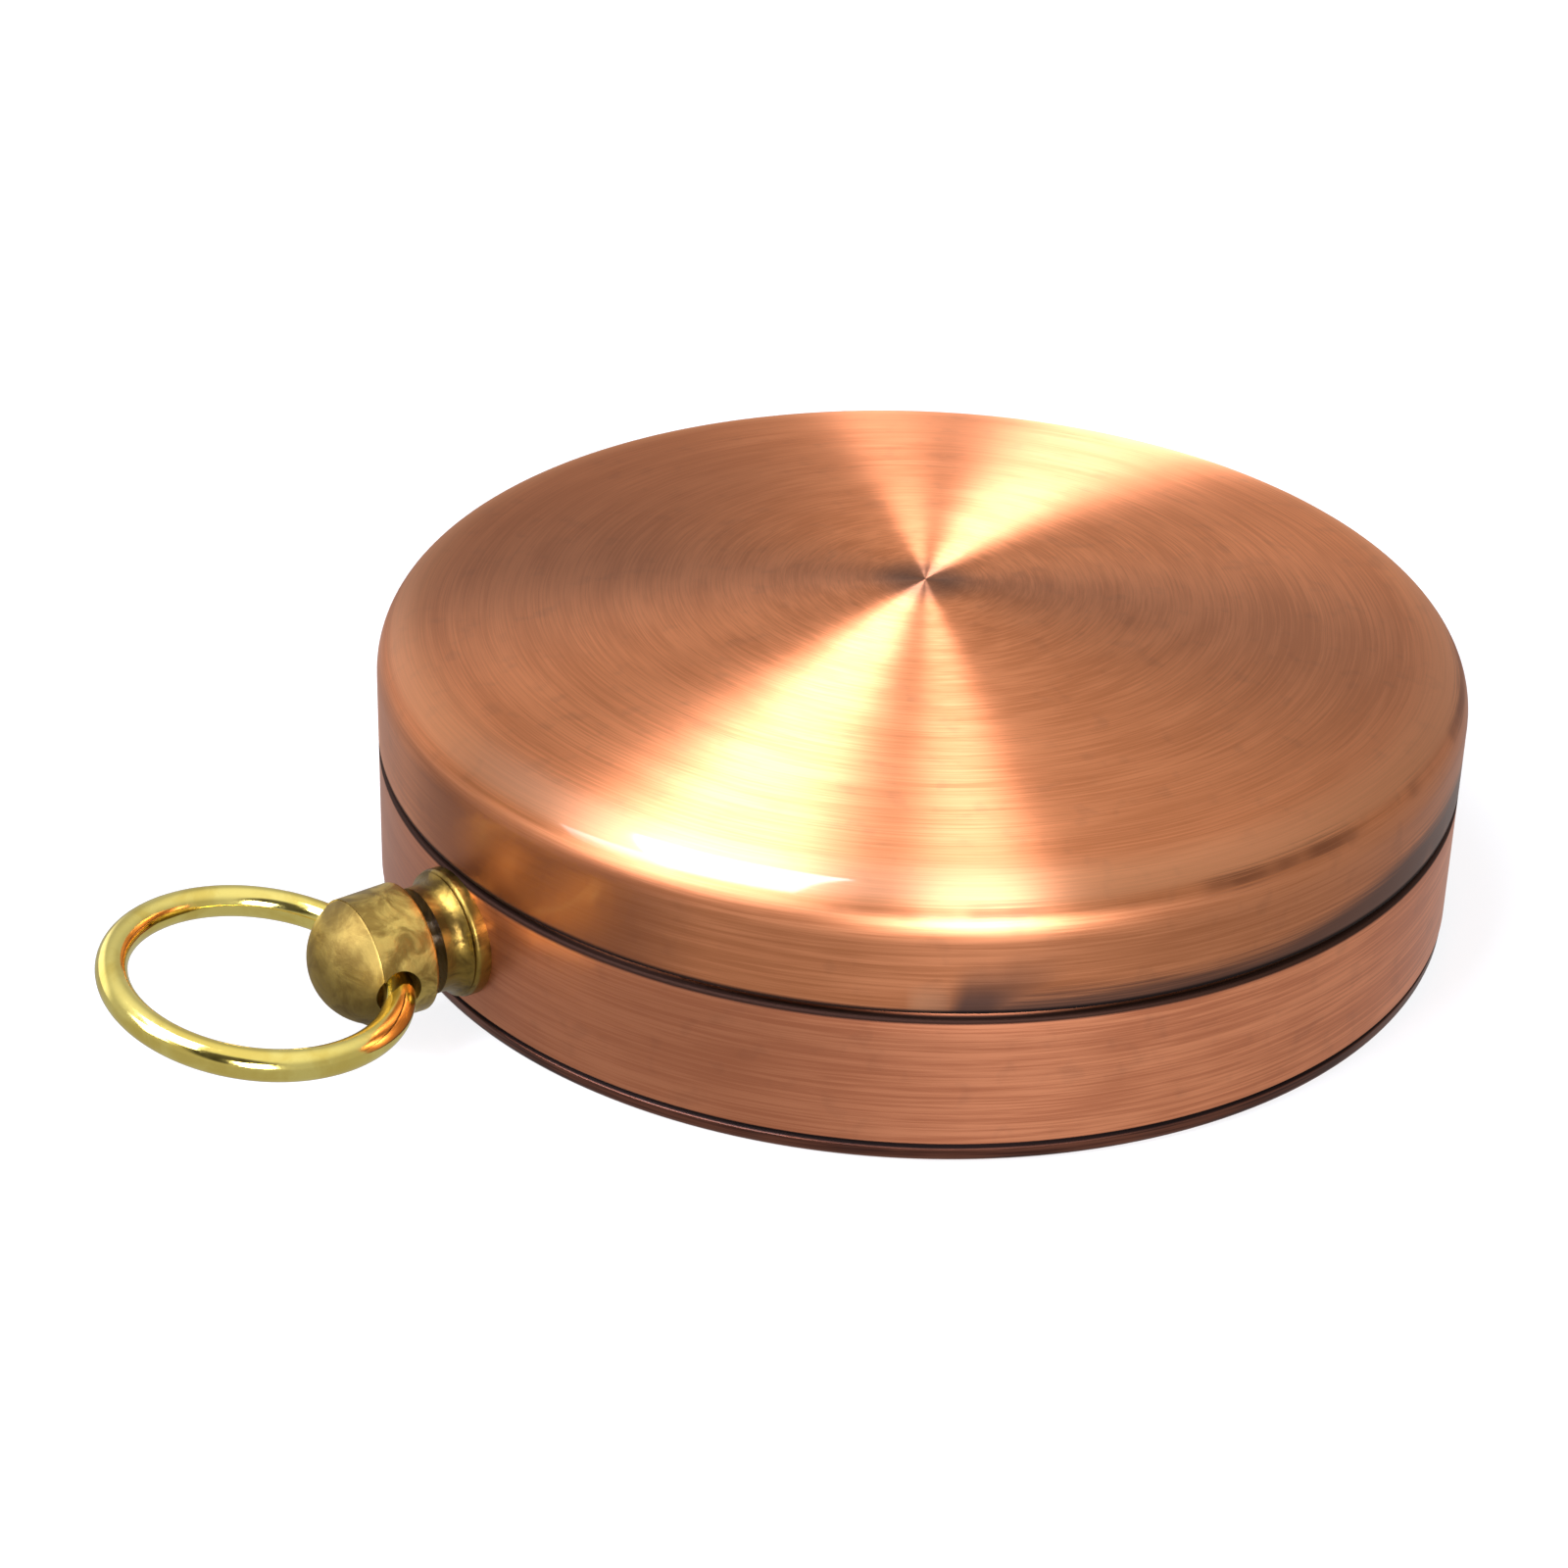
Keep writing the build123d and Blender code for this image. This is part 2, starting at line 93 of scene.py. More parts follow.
def sectorPiece(name, inner, outer, low, high, azimuth, span):
    # part of a square ring, spun from one flat face
    clearSelection()
    bpy.ops.mesh.primitive_plane_add(size=1)
    piece = bpy.context.object
    piece.name = name
    place(piece, Matrix.Translation(Vector((inner + outer, 0, low + high)) * mm / 2)
          @ Matrix.Rotation(math.pi / 2, 4, "X")
          @ Matrix.Diagonal(((outer - inner) * mm, (high - low) * mm, 1, 1)))
    bpy.ops.object.mode_set(mode="EDIT")
    bpy.ops.mesh.select_all(action="SELECT")
    bpy.ops.mesh.spin(steps=max(4, int(span)), angle=math.radians(span), center=(0, 0, 0), axis=(0, 0, 1))
    bpy.ops.mesh.select_all(action="SELECT")
    bpy.ops.mesh.normals_make_consistent(inside=False)
    bpy.ops.object.mode_set(mode="OBJECT")
    azimuths = [math.atan2(v.co.y, v.co.x) for v in piece.data.vertices]
    middle = (min(azimuths) + max(azimuths)) / 2
    return place(piece, Matrix.Rotation(math.radians(azimuth) - middle, 4, "Z"))


def rodPiece(name, radius, length, vertices=96):
    # round bar on Z, its middle at the origin
    clearSelection()
    bpy.ops.mesh.primitive_cylinder_add(radius=radius * mm, depth=length * mm, vertices=vertices)
    bpy.context.object.name = name
    return bpy.context.object


def place(piece, matrix):
    # moves the mesh and leaves the object at the origin
    activate(piece)
    piece.matrix_world = matrix
    bpy.ops.object.transform_apply(location=True, rotation=True, scale=True)
    return piece


def finishWith(piece, kind, **settings):
    activate(piece)
    made = piece.modifiers.new(kind.title(), kind)
    for key, value in settings.items():
        setattr(made, key, value)
    bpy.ops.object.modifier_apply(modifier=made.name)
    return piece


def carve(piece, tool, operation="DIFFERENCE"):
    finishWith(piece, "BOOLEAN", operation=operation, solver="EXACT", object=tool)
    bpy.data.objects.remove(tool, do_unlink=True)
    bpy.ops.object.mode_set(mode="EDIT")
    bpy.ops.mesh.select_all(action="SELECT")
    bpy.ops.mesh.remove_doubles(threshold=1e-6)      # slivers left by the cut
    bpy.ops.object.mode_set(mode="OBJECT")
    return piece


def smooth(piece, angle=32):
    activate(piece)
    bpy.ops.object.shade_smooth_by_angle(angle=math.radians(angle))
    return piece


def wear(piece, body, slotName, material, *nodes):
    # rides on its body, stands for its nodes and takes its finish
    piece.data.materials.clear()
    piece.data.materials.append(material)
    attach(piece, body)
    if nodes:
        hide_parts(*nodes)
    return piece


# Shader maths: a socket that takes part in sums

class Wire:
    def __init__(self, tree, socket=None):
        self.tree = tree
        self.socket = socket

    def node(self, kind, settings=None, inputs=None, out=0):
        made = self.tree.nodes.new("ShaderNode" + kind)
        for key, value in (settings or {}).items():
            setattr(made, key, value)
        for key, value in (inputs or {}).items():
            if isinstance(value, Wire):
                self.tree.links.new(value.socket, made.inputs[key])
            else:
                made.inputs[key].default_value = value
        return Wire(self.tree, made.outputs[out] if made.outputs else None)

    def pick(self, name):
        return Wire(self.tree, self.socket.node.outputs[name])

    def math(self, operation, *values):
        return self.node("Math", {"operation": operation}, dict(enumerate(values)))

    def __add__(self, other):
        return self.math("ADD", self, other)

    def __radd__(self, other):
        return self.math("ADD", other, self)

    def __sub__(self, other):
        return self.math("SUBTRACT", self, other)

    def __rsub__(self, other):
        return self.math("SUBTRACT", other, self)

    def __mul__(self, other):
        return self.math("MULTIPLY", self, other)

    def __rmul__(self, other):
        return self.math("MULTIPLY", other, self)

    def __truediv__(self, other):
        return self.math("DIVIDE", self, other)

    def __rtruediv__(self, other):
        return self.math("DIVIDE", other, self)

    def __pow__(self, other):
        return self.math("POWER", self, other)

    def rise(self, low, high):
        # 0 below low, 1 above high, smooth between; low may be the larger
        return self.node("MapRange", {"interpolation_type": "SMOOTHSTEP"},
                         {"Value": self, "From Min": low, "From Max": high})

    def vector(self, x, y, z):
        return self.node("CombineXYZ", None, {0: x, 1: y, 2: z})

    def noise(self, where, scale, detail=2.0, roughness=0.5, distortion=0.0):
        return self.node("TexNoise", None, {"Vector": where, "Scale": scale, "Detail": detail,
                                            "Roughness": roughness, "Distortion": distortion})

    def blend(self, factor, first, second):
        # sockets of a colour Mix: 6 and 7 are its two colours, output 2 the result
        return self.node("Mix", {"data_type": "RGBA"},
                         {0: factor, 6: asColour(first), 7: asColour(second)}, out=2)

    def bump(self, height, strength, distance):
        return self.node("Bump", None, {"Strength": strength, "Distance": distance, "Height": height})


def asColour(value):
    return value if isinstance(value, Wire) else (*value, 1)


def newMaterial(name):
    material = bpy.data.materials.new(name)
    material.use_nodes = True
    material.node_tree.nodes.clear()
    return material, Wire(material.node_tree)


def closeMaterial(material, wire, inputs):
    shader = wire.node("BsdfPrincipled", None, inputs)
    wire.node("OutputMaterial", None, {"Surface": shader})
    return material


def objectSpot(wire):
    # Object coordinates, and their parts
    spot = wire.node("TexCoord", out="Object")
    parts = wire.node("SeparateXYZ", None, {0: spot})
    return spot, parts.pick("X"), parts.pick("Y"), parts.pick("Z")


# Copper

lidCopper = {
    "pale": (0.92, 0.360, 0.160),
    "deep": (0.70, 0.250, 0.100),
    # tarnish brown, also the colour of a painted dark reflection
    "tarnish": (0.075, 0.058, 0.055),
    # rust brown, also the colour of painted shade
    "rust": (0.24, 0.080, 0.038),
    # worn copper of the edge round, also the colour of a painted highlight
    "worn": (0.98, 0.480, 0.250),
    # near-black painted shade in the seam and the groove
    "soot": (0.010, 0.008, 0.008),
    "roughness": 0.49,
    "anisotropy": 1.0,
    "turn": 0.25,
    "sideFrom": (22.15, 22.40),      # radii in mm where the side takes over from the top
    "sideRoughness": 0.39,
    "sideAnisotropy": 0.22,
    # share of painted shade on the lid's side
    "sideRust": 0.30,
    "coat": 0.05,
    "coatRoughness": 0.07,
    "roundFrom": (19.8, 21.6),       # radii and heights in mm of the edge round
    "roundAbove": (10.8, 11.2),
    "roundCoat": 0.9,
    "buffedAt": 302.0,               # the round is buffed on the pendant's side
    "lineCount": 9000,               # brush lines per metre
    "lineLength": 3.2,               # larger is shorter
    "lineDepth": 0.25,
    "contrast": (0.36, 0.64),
    "lip": (6.95, 6.78),             # heights in mm that the painted seam shade fades over, at the seam and the foot
    "groove": (0.2, 0.1),
    "sootFrom": (22.0, 22.25),
}
caseCopper = dict(lidCopper, pale=(0.96, 0.370, 0.180), deep=(0.72, 0.245, 0.115), coat=0.1, roundCoat=0.1,
                  sideRust=0.0, contrast=(0.42, 0.60), lip=(6.12, 6.28), groove=(0.97, 0.84))
footCopper = dict(caseCopper, pale=(0.20, 0.072, 0.042), deep=(0.07, 0.025, 0.017),
                  under=(0.74, 0.285, 0.135), lip=(0.58, 0.66), groove=(-2.0, -3.0))
hingeCopper = dict(caseCopper, pale=(0.66, 0.255, 0.120), deep=(0.44, 0.155, 0.072),
                   lip=(30.0, 31.0), groove=(-2.0, -3.0))      # no painted seam shade on the knuckles


def inMm(values):
    return [value * mm for value in values]


def cosOf(degrees):
    return math.cos(math.radians(degrees))


def towardsAzimuth(along, azimuth):
    # 1 on that side of the case, 0 a quarter turn away
    return along[0] * cosOf(azimuth) + along[1] * math.sin(math.radians(azimuth))


def brushedCopper(name, look, stainsAndLightAt):
    material, w = newMaterial(name)
    spot, x, y, z = objectSpot(w)
    radius = w.math("SQRT", x * x + y * y)
    alongX = x / (radius + 1e-6)
    alongY = y / (radius + 1e-6)
    along = (alongX, alongY)
    run = radius - z                 # distance across the brush lines, over the top and down the side
    length = look["lineLength"]
    streaks = w.noise(w.vector(alongX * length, alongY * length, run * look["lineCount"]), 1.0, 3.0, 0.65)
    broad = w.noise(w.vector(alongX * 2.5, alongY * 2.5, run * 700), 1.0, 2.0)
    cloud = w.noise(spot, 140.0, 3.0, 0.55)
    patch = w.noise(spot, 900.0, 2.0)
    tone = streaks * 0.55 + broad * 0.27 + cloud * 0.18
    colour = w.blend(tone.rise(*look["contrast"]), look["deep"], look["pale"])
    colour = w.blend(patch.rise(0.55, 0.75) * 0.10, colour, look["tarnish"])
    # real stains, and painted light and shade on the lid and band
    colour = stainsAndLightAt(w, colour, z, radius, along, streaks, cloud, look)
    side = radius.rise(*inMm(look["sideFrom"]))
    # painted shade: the side is darkened towards rust brown
    colour = w.blend(side * look["sideRust"], colour, look["rust"])
    # painted shade in the seam between lid and case and at the groove above the foot
    lip = w.math("MAXIMUM", z.rise(*inMm(look["lip"])), z.rise(*inMm(look["groove"])))
    lip = lip * radius.rise(*inMm(look["sootFrom"]))
    colour = w.blend(lip * 0.95, colour, look["soot"])
    buffed = radius.rise(*inMm(look["roundFrom"])) * z.rise(*inMm(look["roundAbove"]))
    colour = w.blend(buffed * 0.4, colour, look["worn"])
    handled = towardsAzimuth(along, look["buffedAt"]).rise(0.78, 0.94)
    coat = (look["coat"] + buffed * handled * (look["roundCoat"] - look["coat"])) * (1 - lip)
    grain = (streaks - 0.5) * 0.12 + (cloud - 0.5) * 0.06
    shared = {"Base Color": colour, "Metallic": 1.0, "Anisotropic Rotation": look["turn"],
              "Normal": w.bump(streaks, look["lineDepth"], 0.004 * mm),
              "Coat Weight": coat, "Coat Roughness": look["coatRoughness"]}
    top = w.node("BsdfPrincipled", None, dict(shared, Roughness=look["roughness"] + grain,
                                              Anisotropic=look["anisotropy"]))
    wall = w.node("BsdfPrincipled", None, dict(shared, Roughness=look["sideRoughness"] + grain + lip * 0.3,
                                               Anisotropic=look["sideAnisotropy"]))
    w.node("OutputMaterial", None, {"Surface": w.node("MixShader", None, {0: side, 1: top, 2: wall})})
    return material


# Stains, painted shade, a painted dark reflection and a painted highlight on the copper: azimuths in degrees,
# heights and radii in mm, depths from 0 to 1

lidStainsAndLight = {
    "heart": (2.7, 0.8), "heartDepth": 0.6,                            # brown middle of the spinning
    "hingeSide": (2.0, 15.0), "hingeDepth": 0.3,
    "ragged": 1.2,                                                     # how far brush lines break an edge
    "lineFoot": (10.3, 10.7), "lineTop": (11.2, 10.9), "lineDepth": 0.7,
    "paintedShadeAt": 281.0, "paintedShade": (10.8, 9.8), "paintedShadeDepth": 0.85,           # painted shade on the side above the pendant, dimming the knob's and collar's reflection there
    "dullAt": 205.0, "dullRadius": (5.0, 14.0), "dullAbove": (10.0, 11.0), "dullDepth": 0.36,
    "filmAt": 329.5, "filmSpan": 78.0, "film": (8.0, 6.9), "filmWider": 1.0, "filmDepth": 0.88,
    # painted dark reflection on the lower front of the side
    "darkReflectionFoot": 6.65, "darkReflectionLean": 14, "paintedDarkReflection": (9.6, 7.2), "darkReflectionDepth": 0.95,
    "paintedHighlight": (8.2, 7.2), "paintedHighlightDepth": 0.6,                          # painted highlight beside the painted dark reflection
}
# painted shade on the band round the pendant
bandPaintedShade = {"paintedShadeAt": 270.0, "paintedShadeDepth": 0.62}
footStains = {"underside": (0.12, 0.03)}


def lidTarnish(w, colour, z, radius, along, streaks, cloud, look):
    # tarnish stains, with painted shade, a painted dark reflection and a painted highlight
    stainsAndLight = lidStainsAndLight
    filmAt = stainsAndLight["filmAt"]
    filmSpan = stainsAndLight["filmSpan"]
    overFilm = towardsAzimuth(along, filmAt + filmSpan / 2)
    ragged = z + (streaks - 0.5) * (stainsAndLight["ragged"] * mm)
    heart = radius.rise(*inMm(stainsAndLight["heart"])) * cloud.rise(0.25, 0.5)
    colour = w.blend(heart * stainsAndLight["heartDepth"], colour, look["tarnish"])
    behind = towardsAzimuth(along, filmAt - 180).rise(0.3, 1.0) * radius.rise(*inMm(stainsAndLight["hingeSide"]))
    colour = w.blend(behind * stainsAndLight["hingeDepth"], colour, look["rust"])
    line = ragged.rise(*inMm(stainsAndLight["lineFoot"])) * ragged.rise(*inMm(stainsAndLight["lineTop"]))
    line = line * overFilm.rise(0.5, 0.8) * cloud.rise(0.40, 0.58)
    colour = w.blend(line * stainsAndLight["lineDepth"], colour, look["rust"])
    # painted shade above the pendant, darkening towards rust brown
    paintedShade = towardsAzimuth(along, stainsAndLight["paintedShadeAt"]).rise(0.92, 0.995) * z.rise(*inMm(stainsAndLight["paintedShade"]))
    colour = w.blend(paintedShade * stainsAndLight["paintedShadeDepth"], colour, look["rust"])
    duller = towardsAzimuth(along, stainsAndLight["dullAt"]).rise(0.72, 0.97)
    duller = duller * radius.rise(*inMm(stainsAndLight["dullRadius"])) * z.rise(*inMm(stainsAndLight["dullAbove"]))
    colour = w.blend(duller * stainsAndLight["dullDepth"], colour, look["rust"])
    widening = towardsAzimuth(along, filmAt + filmSpan).rise(cosOf(50), 1.0) * (stainsAndLight["filmWider"] * mm)
    film = (ragged - widening).rise(*inMm(stainsAndLight["film"])) * cloud.rise(0.15, 0.42)
    film = film * overFilm.rise(cosOf(0.62 * filmSpan), cosOf(0.45 * filmSpan))
    # painted dark reflection: a slanted dark patch low on the front of the side
    past = towardsAzimuth(along, filmAt + 90) - (z - stainsAndLight["darkReflectionFoot"] * mm) * stainsAndLight["darkReflectionLean"]
    past = past + (cloud - 0.5) * 0.04
    paintedDarkReflection = past.rise(-0.08, -0.03) * past.rise(0.13, 0.0)
    paintedDarkReflection = paintedDarkReflection * (z + (cloud - 0.5) * 0.003).rise(*inMm(stainsAndLight["paintedDarkReflection"]))
    paintedDarkReflection = paintedDarkReflection * towardsAzimuth(along, filmAt).rise(0.5, 0.9)
    # painted highlight: a lighter stripe beside the painted dark reflection
    paintedHighlight = towardsAzimuth(along, filmAt - 5).rise(cosOf(2.5), 1.0) * z.rise(*inMm(stainsAndLight["paintedHighlight"]))
    colour = w.blend(paintedHighlight * stainsAndLight["paintedHighlightDepth"], colour, look["worn"])
    # the film's tarnish and the painted dark reflection, whichever is darker
    dark = w.math("MAXIMUM", film * stainsAndLight["filmDepth"], paintedDarkReflection * stainsAndLight["darkReflectionDepth"])
    return w.blend(dark, colour, look["tarnish"])


def footTarnish(w, colour, z, radius, along, streaks, cloud, look):
    # the underside keeps the paler copper of the case
    under = z.rise(*inMm(footStains["underside"])) * (0.6 + cloud * 0.4)
    return w.blend(under, colour, look["under"])


def bandTarnish(w, colour, z, radius, along, streaks, cloud, look):
    # painted shade round the pendant, where the band reflects the shadowed floor beside the case
    paintedShade = towardsAzimuth(along, bandPaintedShade["paintedShadeAt"]).rise(0.05, 0.9) * (0.55 + streaks * 0.5)
    return w.blend(paintedShade * bandPaintedShade["paintedShadeDepth"], colour, look["rust"])


lidFinish = brushedCopper("lidCopper", lidCopper, lidTarnish)
bandFinish = brushedCopper("caseCopper", caseCopper, bandTarnish)
footFinish = brushedCopper("footCopper", footCopper, footTarnish)
hingeFinish = brushedCopper("hingeCopper", hingeCopper, bandTarnish)


# Brass

# the dome colour is painted shade on the crown's dome
knobBrass = {"pale": (0.60, 0.435, 0.115), "deep": (0.27, 0.175, 0.042), "roughness": 0.36, "dents": 0.45,
             "stain": 850.0, "dome": (0.125, 0.078, 0.020), "domeFrom": (-26.9, -27.1), "domeDull": 0.75}
# painted shade: the collar's brass is a darker copy of the crown's brass
shadedCollarBrass = {"pale": (0.26, 0.165, 0.033), "deep": (0.10, 0.060, 0.014), "roughness": 0.36, "dents": 0.45,
               "stain": 850.0}
ringBrass = {"pale": (0.96, 0.80, 0.235), "deep": (0.86, 0.67, 0.160), "roughness": 0.12, "dents": 0.04,
             "stain": 500.0}


def wornBrass(name, look):
    material, w = newMaterial(name)
    spot, x, y, z = objectSpot(w)
    stain = w.noise(spot, look["stain"], 4.0, 0.6, 0.6)
    scuff = w.noise(spot, 2600.0, 3.0, 0.6)
    colour = w.blend(stain.rise(0.36, 0.62), look["deep"], look["pale"])
    roughness = look["roughness"] + (scuff - 0.5) * 0.15 + (stain - 0.5) * 0.10
    if "dome" in look:               # painted shade: the crown's dome is coloured darker than its barrel, and it is also rougher
        dome = y.rise(*inMm(look["domeFrom"])) * look["domeDull"]
        colour = w.blend(dome, colour, look["dome"])
        roughness = roughness + dome * 0.28
    normal = w.bump(stain * 0.7 + scuff * 0.3, look["dents"], 0.12 * mm)
    return closeMaterial(material, w, {
        "Base Color": colour, "Roughness": roughness, "Metallic": 1.0, "Normal": normal})


knobFinish = wornBrass("knobBrass", knobBrass)
shadedCollarFinish = wornBrass("shadedCollarBrass", shadedCollarBrass)
ringFinish = wornBrass("ringBrass", ringBrass)


# Steel, dial, needle, glass and rubber

def plainMetal(name, pale, deep, rough, grain):
    material, w = newMaterial(name)
    spot, x, y, z = objectSpot(w)
    lines = w.noise(w.vector(x * grain, y * grain, z * grain * 0.1), 1.0, 3.0, 0.6)
    colour = w.blend(lines.rise(0.3, 0.7), deep, pale)
    return closeMaterial(material, w, {
        "Base Color": colour, "Roughness": rough + (lines - 0.5) * 0.2, "Metallic": 1.0,
        "Normal": w.bump(lines, 0.15, 0.01 * mm)})


def plainPaint(name, pale, deep, rough, coat=0.0):
    material, w = newMaterial(name)
    spot, x, y, z = objectSpot(w)
    mottle = w.noise(spot, 1800.0, 3.0, 0.6)
    colour = w.blend(mottle.rise(0.35, 0.7), deep, pale)
    return closeMaterial(material, w, {
        "Base Color": colour, "Roughness": rough + (mottle - 0.5) * 0.12, "Coat Weight": coat,
        "Coat Roughness": 0.08, "Normal": w.bump(mottle, 0.08, 0.01 * mm)})


steelFinish = plainMetal("turnedSteel", (0.56, 0.56, 0.56), (0.42, 0.42, 0.43), 0.3, 9000)
springFinish = plainMetal("springStrip", (0.40, 0.41, 0.45), (0.24, 0.25, 0.30), 0.34, 6000)
dialFinish = plainPaint("dialEnamel", (0.75, 0.71, 0.60), (0.69, 0.64, 0.53), 0.4, 0.3)
scaleFinish = plainPaint("scaleBlack", (0.030, 0.030, 0.032), (0.018, 0.018, 0.020), 0.45)
inkFinish = plainPaint("dialInk", (0.030, 0.030, 0.035), (0.015, 0.015, 0.018), 0.5)
markFinish = plainPaint("scaleMarks", (0.85, 0.84, 0.80), (0.74, 0.73, 0.69), 0.5)
rubberFinish = plainPaint("sealRubber", (0.035, 0.035, 0.035), (0.020, 0.020, 0.020), 0.7)


def needlePaint():
    material, w = newMaterial("needlePaint")
    spot, x, y, z = objectSpot(w)
    speck = w.noise(spot, 2500.0, 3.0)
    red = w.blend(speck.rise(0.3, 0.7), (0.52, 0.020, 0.018), (0.64, 0.035, 0.028))
    pale = w.blend(speck.rise(0.3, 0.7), (0.72, 0.72, 0.70), (0.82, 0.82, 0.80))
    colour = w.blend(y.rise(-0.05 * mm, 0.05 * mm), red, pale)   # the north half points to the pendant
    return closeMaterial(material, w, {"Base Color": colour, "Roughness": 0.28 + speck * 0.12,
                                       "Coat Weight": 0.4, "Coat Roughness": 0.1})


def clearGlass(name, shine, cover):
    # a thin mirror that lets most light through, more of a mirror at a slant
    material, w = newMaterial(name)
    spot, x, y, z = objectSpot(w)
    smear = w.noise(spot, 160.0, 4.0, 0.6, 0.4)
    slant = w.node("LayerWeight", None, {"Blend": 0.5}, out="Facing") ** 5
    colour = w.blend(smear, shine, (0.30, 0.32, 0.33))
    return closeMaterial(material, w, {
        "Base Color": colour, "Roughness": 0.02 + smear * 0.05, "Metallic": 1.0,
        "Alpha": cover + slant * 0.7 + (smear - 0.5) * 0.03})


needleFinish = needlePaint()
glassFinish = clearGlass("crystalGlass", (0.24, 0.26, 0.26), 0.12)
jewelFinish = plainPaint("jewelRuby", (0.42, 0.015, 0.060), (0.30, 0.008, 0.040), 0.12, 0.8)
print("materials made:", len(bpy.data.materials))


# Lid

lid = {"wall": 0.8, "edgeRound": 2.16, "domeRadius": 129.0, "lipWidth": 0.7, "lipHeight": 0.5,
       "seamRound": 0.12, "steps": 240}
lidLow, lidHigh = (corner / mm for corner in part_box("lid_shell"))
caseRadius = lidHigh.x


def buildLid():
    bore = caseRadius - lid["wall"]
    lipBore = bore - lid["lipWidth"]
    lipTop = lidLow.z + lid["lipHeight"]
    roundAt = caseRadius - lid["edgeRound"]
    domeAt = lidHigh.z - lid["domeRadius"]
    reach = lid["domeRadius"] - lid["edgeRound"]
    roundLevel = domeAt + math.sqrt(reach ** 2 - roundAt ** 2)
    lean = math.degrees(math.asin(roundAt / reach))
    seamCentre = (caseRadius - lid["seamRound"], lidLow.z + lid["seamRound"])
    outline = [(lipBore, lidLow.z)]
    outline += arc(seamCentre, lid["seamRound"], -90, 0, 5)
    outline += [(caseRadius, lidLow.z + (roundLevel - lidLow.z) * i / 6) for i in range(1, 6)]
    outline += arc((roundAt, roundLevel), lid["edgeRound"], 0, 90 - lean, 18)
    outline += arc((0, domeAt), lid["domeRadius"], 90 - lean, 90, 30)[1:]
    outline += arc((0, domeAt), lid["domeRadius"] - lid["wall"], 90, 90 - lean, 30)
    outline += arc((roundAt, roundLevel), lid["edgeRound"] - lid["wall"], 90 - lean, 0, 10)[1:]
    outline += [(bore, lipTop), (lipBore, lipTop)]
    piece = smooth(turnPiece("lidShell", outline, lid["steps"]))
    return wear(piece, "lid", "lid_copper", lidFinish, "lid_shell")


buildLid()
print("lid done")


# Case band and back cover

band = {"bore": 21.5, "grooveBevel": 0.15, "seam": 6.4, "seamRound": 0.12, "upstandRadius": 20.8,
        "seatBore": 19.85, "ledgeTop": 5.7, "ledgeBore": 18.9, "underside": 5.2, "steps": 240,
        "tubeRadius": 1.3, "pendantHeight": 3.83, "notchArc": 16, "notchRelief": 0.03, "notchOverlap": 0.2,
        "lockReach": 19.3, "liftReach": 20.85}
cover = {"footRound": 0.35, "rimRadius": 21.45, "rimTop": 1.95, "rimWall": 0.6}
bandLow, bandHigh = (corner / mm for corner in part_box("case_band"))
coverLow, coverHigh = (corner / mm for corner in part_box("back_cover"))


def buildBand():
    seamAt = (caseRadius - band["seamRound"], band["seam"] - band["seamRound"])
    upstandAt = (band["upstandRadius"] - band["seamRound"], bandHigh.z - band["seamRound"])
    wallLow = bandLow.z + band["grooveBevel"]
    outline = [(band["bore"], bandLow.z), (caseRadius - band["grooveBevel"], bandLow.z)]
    outline += [(caseRadius, wallLow + (seamAt[1] - wallLow) * i / 6) for i in range(6)]
    outline += arc(seamAt, band["seamRound"], 0, 90, 5)
    outline += [(band["upstandRadius"], band["seam"])]
    outline += arc(upstandAt, band["seamRound"], 0, 90, 5)
    outline += [(band["seatBore"], bandHigh.z), (band["seatBore"], band["ledgeTop"])]
    outline += [(band["ledgeBore"], band["ledgeTop"]), (band["ledgeBore"], band["underside"])]
    outline += [(band["bore"], band["underside"])]
    piece = turnPiece("caseBand", outline, band["steps"])
    overlap = band["notchOverlap"]
    notchLow = band["underside"] - overlap
    notchOuter = band["bore"] + band["notchRelief"]
    carve(piece, sectorPiece("lockNotch", band["lockReach"], notchOuter, notchLow, bandHigh.z + overlap,
                             270, band["notchArc"]))
    carve(piece, sectorPiece("liftNotch", band["liftReach"], notchOuter, notchLow, band["seam"] + overlap,
                             90, band["notchArc"]))
    hole = rodPiece("pendantHole", band["tubeRadius"], 2 * (caseRadius - band["ledgeBore"]))
    carve(piece, place(hole, Matrix.Translation(Vector((0, -caseRadius, band["pendantHeight"])) * mm)
                       @ Matrix.Rotation(math.pi / 2, 4, "X")))
    return wear(smooth(piece), "case", "case_copper", bandFinish, "case_band")


def buildCover():
    footAt = (coverHigh.x - cover["footRound"], coverLow.z + cover["footRound"])
    outline = [(0, coverLow.z), (coverHigh.x * 0.5, coverLow.z)]
    outline += arc(footAt, cover["footRound"], -90, 0, 8)
    outline += [(coverHigh.x, bandLow.z - band["grooveBevel"])]
    outline += [(coverHigh.x - band["grooveBevel"], bandLow.z)]
    outline += [(cover["rimRadius"], bandLow.z), (cover["rimRadius"], cover["rimTop"])]
    outline += [(cover["rimRadius"] - cover["rimWall"], cover["rimTop"])]
    outline += [(cover["rimRadius"] - cover["rimWall"], bandLow.z), (0, bandLow.z)]
    piece = turnPiece("backCover", outline, band["steps"])
    return wear(smooth(piece), "case", "case_copper", footFinish, "back_cover")


buildBand()
buildCover()
print("case done")


# Pendant collar, crown knob and bow ring

